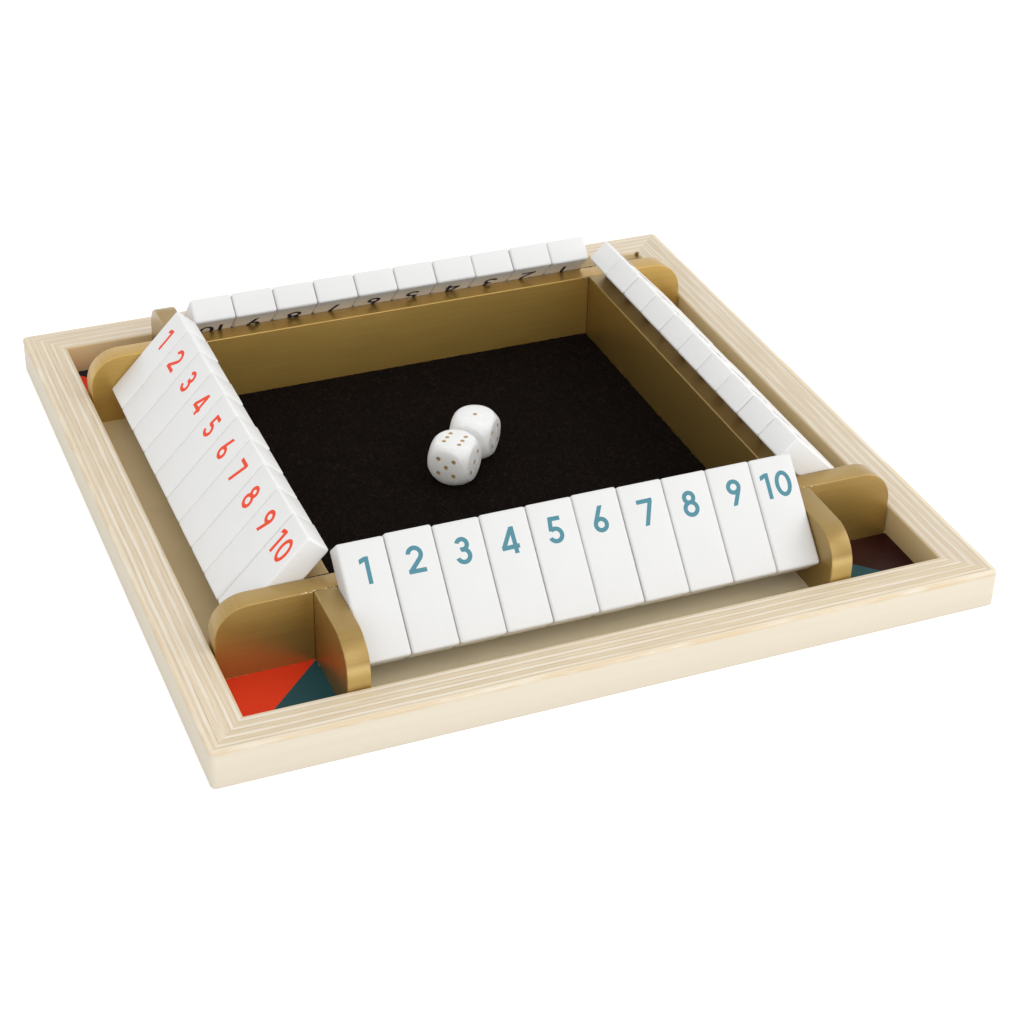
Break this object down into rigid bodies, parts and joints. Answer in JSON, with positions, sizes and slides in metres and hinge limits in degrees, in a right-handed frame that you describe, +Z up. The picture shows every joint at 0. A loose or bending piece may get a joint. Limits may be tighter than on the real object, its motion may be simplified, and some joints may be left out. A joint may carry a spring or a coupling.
{
  "type": "shut the box game",
  "caption": "Square four-player shut-the-box game: a felt dice tray in a plywood frame, with a row of flip-over number tiles along each side and a pair of dice.",
  "frame": {"origin": "centre of the underside, on the surface that the game stands on", "axes": "+X to the right along the front rail, +Y from the front to the back, +Z up"},
  "size_m": [0.28, 0.28, 0.0455],
  "materials": {
    "base_board": "matt lacquered board, greyish gold, with painted two-colour corner squares",
    "felt": "black pressed felt",
    "gold_board": "satin gold paint with a fine brushed grain",
    "plywood_rail": "sanded pale birch plywood, plies showing on the top edge",
    "steel_rod": "plain drawn steel",
    "white_tile": "satin white paint with printed numerals",
    "white_die": "glossy white with gold pips"
  },
  "bodies": {
    "box": {"base_board": "base_board", "felt_pad": "felt", "wall_front": "gold_board", "wall_back": "gold_board", "wall_left": "gold_board", "wall_right": "gold_board", "rail_front": "plywood_rail", "rail_right": "plywood_rail", "rail_back": "plywood_rail", "rail_left": "plywood_rail", "hinge_rod_front": "steel_rod", "hinge_rod_right": "steel_rod", "hinge_rod_back": "steel_rod", "hinge_rod_left": "steel_rod"},
    "tile_front_01": {"tile_front_01": "white_tile"},
    "tile_front_02": {"tile_front_02": "white_tile"},
    "tile_front_03": {"tile_front_03": "white_tile"},
    "tile_front_04": {"tile_front_04": "white_tile"},
    "tile_front_05": {"tile_front_05": "white_tile"},
    "tile_front_06": {"tile_front_06": "white_tile"},
    "tile_front_07": {"tile_front_07": "white_tile"},
    "tile_front_08": {"tile_front_08": "white_tile"},
    "tile_front_09": {"tile_front_09": "white_tile"},
    "tile_front_10": {"tile_front_10": "white_tile"},
    "tile_right_01": {"tile_right_01": "white_tile"},
    "tile_right_02": {"tile_right_02": "white_tile"},
    "tile_right_03": {"tile_right_03": "white_tile"},
    "tile_right_04": {"tile_right_04": "white_tile"},
    "tile_right_05": {"tile_right_05": "white_tile"},
    "tile_right_06": {"tile_right_06": "white_tile"},
    "tile_right_07": {"tile_right_07": "white_tile"},
    "tile_right_08": {"tile_right_08": "white_tile"},
    "tile_right_09": {"tile_right_09": "white_tile"},
    "tile_right_10": {"tile_right_10": "white_tile"},
    "tile_back_01": {"tile_back_01": "white_tile"},
    "tile_back_02": {"tile_back_02": "white_tile"},
    "tile_back_03": {"tile_back_03": "white_tile"},
    "tile_back_04": {"tile_back_04": "white_tile"},
    "tile_back_05": {"tile_back_05": "white_tile"},
    "tile_back_06": {"tile_back_06": "white_tile"},
    "tile_back_07": {"tile_back_07": "white_tile"},
    "tile_back_08": {"tile_back_08": "white_tile"},
    "tile_back_09": {"tile_back_09": "white_tile"},
    "tile_back_10": {"tile_back_10": "white_tile"},
    "tile_left_01": {"tile_left_01": "white_tile"},
    "tile_left_02": {"tile_left_02": "white_tile"},
    "tile_left_03": {"tile_left_03": "white_tile"},
    "tile_left_04": {"tile_left_04": "white_tile"},
    "tile_left_05": {"tile_left_05": "white_tile"},
    "tile_left_06": {"tile_left_06": "white_tile"},
    "tile_left_07": {"tile_left_07": "white_tile"},
    "tile_left_08": {"tile_left_08": "white_tile"},
    "tile_left_09": {"tile_left_09": "white_tile"},
    "tile_left_10": {"tile_left_10": "white_tile"},
    "die_a": {"die_a": "white_die"},
    "die_b": {"die_b": "white_die"}
  },
  "joints": [
    {"name": "tile_front_01_flip", "type": "hinge", "parent": "box", "child": "tile_front_01", "pos_m": [0, -0.10785, 0.0192], "axis": [1, 0, 0], "range_deg": [0, 133.8]},
    {"name": "tile_front_02_flip", "type": "hinge", "parent": "box", "child": "tile_front_02", "pos_m": [0, -0.10785, 0.0192], "axis": [1, 0, 0], "range_deg": [0, 133.8]},
    {"name": "tile_front_03_flip", "type": "hinge", "parent": "box", "child": "tile_front_03", "pos_m": [0, -0.10785, 0.0192], "axis": [1, 0, 0], "range_deg": [0, 133.8]},
    {"name": "tile_front_04_flip", "type": "hinge", "parent": "box", "child": "tile_front_04", "pos_m": [0, -0.10785, 0.0192], "axis": [1, 0, 0], "range_deg": [0, 133.8]},
    {"name": "tile_front_05_flip", "type": "hinge", "parent": "box", "child": "tile_front_05", "pos_m": [0, -0.10785, 0.0192], "axis": [1, 0, 0], "range_deg": [0, 133.8]},
    {"name": "tile_front_06_flip", "type": "hinge", "parent": "box", "child": "tile_front_06", "pos_m": [0, -0.10785, 0.0192], "axis": [1, 0, 0], "range_deg": [0, 133.8]},
    {"name": "tile_front_07_flip", "type": "hinge", "parent": "box", "child": "tile_front_07", "pos_m": [0, -0.10785, 0.0192], "axis": [1, 0, 0], "range_deg": [0, 133.8]},
    {"name": "tile_front_08_flip", "type": "hinge", "parent": "box", "child": "tile_front_08", "pos_m": [0, -0.10785, 0.0192], "axis": [1, 0, 0], "range_deg": [0, 133.8]},
    {"name": "tile_front_09_flip", "type": "hinge", "parent": "box", "child": "tile_front_09", "pos_m": [0, -0.10785, 0.0192], "axis": [1, 0, 0], "range_deg": [0, 133.8]},
    {"name": "tile_front_10_flip", "type": "hinge", "parent": "box", "child": "tile_front_10", "pos_m": [0, -0.10785, 0.0192], "axis": [1, 0, 0], "range_deg": [0, 133.8]},
    {"name": "tile_right_01_flip", "type": "hinge", "parent": "box", "child": "tile_right_01", "pos_m": [0.10785, 0, 0.0192], "axis": [0, 1, 0], "range_deg": [0, 133.8]},
    {"name": "tile_right_02_flip", "type": "hinge", "parent": "box", "child": "tile_right_02", "pos_m": [0.10785, 0, 0.0192], "axis": [0, 1, 0], "range_deg": [0, 133.8]},
    {"name": "tile_right_03_flip", "type": "hinge", "parent": "box", "child": "tile_right_03", "pos_m": [0.10785, 0, 0.0192], "axis": [0, 1, 0], "range_deg": [0, 133.8]},
    {"name": "tile_right_04_flip", "type": "hinge", "parent": "box", "child": "tile_right_04", "pos_m": [0.10785, 0, 0.0192], "axis": [0, 1, 0], "range_deg": [0, 133.8]},
    {"name": "tile_right_05_flip", "type": "hinge", "parent": "box", "child": "tile_right_05", "pos_m": [0.10785, 0, 0.0192], "axis": [0, 1, 0], "range_deg": [0, 133.8]},
    {"name": "tile_right_06_flip", "type": "hinge", "parent": "box", "child": "tile_right_06", "pos_m": [0.10785, 0, 0.0192], "axis": [0, 1, 0], "range_deg": [0, 133.8]},
    {"name": "tile_right_07_flip", "type": "hinge", "parent": "box", "child": "tile_right_07", "pos_m": [0.10785, 0, 0.0192], "axis": [0, 1, 0], "range_deg": [0, 133.8]},
    {"name": "tile_right_08_flip", "type": "hinge", "parent": "box", "child": "tile_right_08", "pos_m": [0.10785, 0, 0.0192], "axis": [0, 1, 0], "range_deg": [0, 133.8]},
    {"name": "tile_right_09_flip", "type": "hinge", "parent": "box", "child": "tile_right_09", "pos_m": [0.10785, 0, 0.0192], "axis": [0, 1, 0], "range_deg": [0, 133.8]},
    {"name": "tile_right_10_flip", "type": "hinge", "parent": "box", "child": "tile_right_10", "pos_m": [0.10785, 0, 0.0192], "axis": [0, 1, 0], "range_deg": [0, 133.8]},
    {"name": "tile_back_01_flip", "type": "hinge", "parent": "box", "child": "tile_back_01", "pos_m": [0, 0.10785, 0.0192], "axis": [-1, 0, 0], "range_deg": [0, 133.8]},
    {"name": "tile_back_02_flip", "type": "hinge", "parent": "box", "child": "tile_back_02", "pos_m": [0, 0.10785, 0.0192], "axis": [-1, 0, 0], "range_deg": [0, 133.8]},
    {"name": "tile_back_03_flip", "type": "hinge", "parent": "box", "child": "tile_back_03", "pos_m": [0, 0.10785, 0.0192], "axis": [-1, 0, 0], "range_deg": [0, 133.8]},
    {"name": "tile_back_04_flip", "type": "hinge", "parent": "box", "child": "tile_back_04", "pos_m": [0, 0.10785, 0.0192], "axis": [-1, 0, 0], "range_deg": [0, 133.8]},
    {"name": "tile_back_05_flip", "type": "hinge", "parent": "box", "child": "tile_back_05", "pos_m": [0, 0.10785, 0.0192], "axis": [-1, 0, 0], "range_deg": [0, 133.8]},
    {"name": "tile_back_06_flip", "type": "hinge", "parent": "box", "child": "tile_back_06", "pos_m": [0, 0.10785, 0.0192], "axis": [-1, 0, 0], "range_deg": [0, 133.8]},
    {"name": "tile_back_07_flip", "type": "hinge", "parent": "box", "child": "tile_back_07", "pos_m": [0, 0.10785, 0.0192], "axis": [-1, 0, 0], "range_deg": [0, 133.8]},
    {"name": "tile_back_08_flip", "type": "hinge", "parent": "box", "child": "tile_back_08", "pos_m": [0, 0.10785, 0.0192], "axis": [-1, 0, 0], "range_deg": [0, 133.8]},
    {"name": "tile_back_09_flip", "type": "hinge", "parent": "box", "child": "tile_back_09", "pos_m": [0, 0.10785, 0.0192], "axis": [-1, 0, 0], "range_deg": [0, 133.8]},
    {"name": "tile_back_10_flip", "type": "hinge", "parent": "box", "child": "tile_back_10", "pos_m": [0, 0.10785, 0.0192], "axis": [-1, 0, 0], "range_deg": [0, 133.8]},
    {"name": "tile_left_01_flip", "type": "hinge", "parent": "box", "child": "tile_left_01", "pos_m": [-0.10785, 0, 0.0192], "axis": [0, -1, 0], "range_deg": [0, 133.8]},
    {"name": "tile_left_02_flip", "type": "hinge", "parent": "box", "child": "tile_left_02", "pos_m": [-0.10785, 0, 0.0192], "axis": [0, -1, 0], "range_deg": [0, 133.8]},
    {"name": "tile_left_03_flip", "type": "hinge", "parent": "box", "child": "tile_left_03", "pos_m": [-0.10785, 0, 0.0192], "axis": [0, -1, 0], "range_deg": [0, 133.8]},
    {"name": "tile_left_04_flip", "type": "hinge", "parent": "box", "child": "tile_left_04", "pos_m": [-0.10785, 0, 0.0192], "axis": [0, -1, 0], "range_deg": [0, 133.8]},
    {"name": "tile_left_05_flip", "type": "hinge", "parent": "box", "child": "tile_left_05", "pos_m": [-0.10785, 0, 0.0192], "axis": [0, -1, 0], "range_deg": [0, 133.8]},
    {"name": "tile_left_06_flip", "type": "hinge", "parent": "box", "child": "tile_left_06", "pos_m": [-0.10785, 0, 0.0192], "axis": [0, -1, 0], "range_deg": [0, 133.8]},
    {"name": "tile_left_07_flip", "type": "hinge", "parent": "box", "child": "tile_left_07", "pos_m": [-0.10785, 0, 0.0192], "axis": [0, -1, 0], "range_deg": [0, 133.8]},
    {"name": "tile_left_08_flip", "type": "hinge", "parent": "box", "child": "tile_left_08", "pos_m": [-0.10785, 0, 0.0192], "axis": [0, -1, 0], "range_deg": [0, 133.8]},
    {"name": "tile_left_09_flip", "type": "hinge", "parent": "box", "child": "tile_left_09", "pos_m": [-0.10785, 0, 0.0192], "axis": [0, -1, 0], "range_deg": [0, 133.8]},
    {"name": "tile_left_10_flip", "type": "hinge", "parent": "box", "child": "tile_left_10", "pos_m": [-0.10785, 0, 0.0192], "axis": [0, -1, 0], "range_deg": [0, 133.8]},
    {"name": "die_a_lift", "type": "slide", "parent": "box", "child": "die_a", "axis": [0, 0, 1], "range_m": [0, 0.05]},
    {"name": "die_b_lift", "type": "slide", "parent": "box", "child": "die_b", "axis": [0, 0, 1], "range_m": [0, 0.05]}
  ]
}
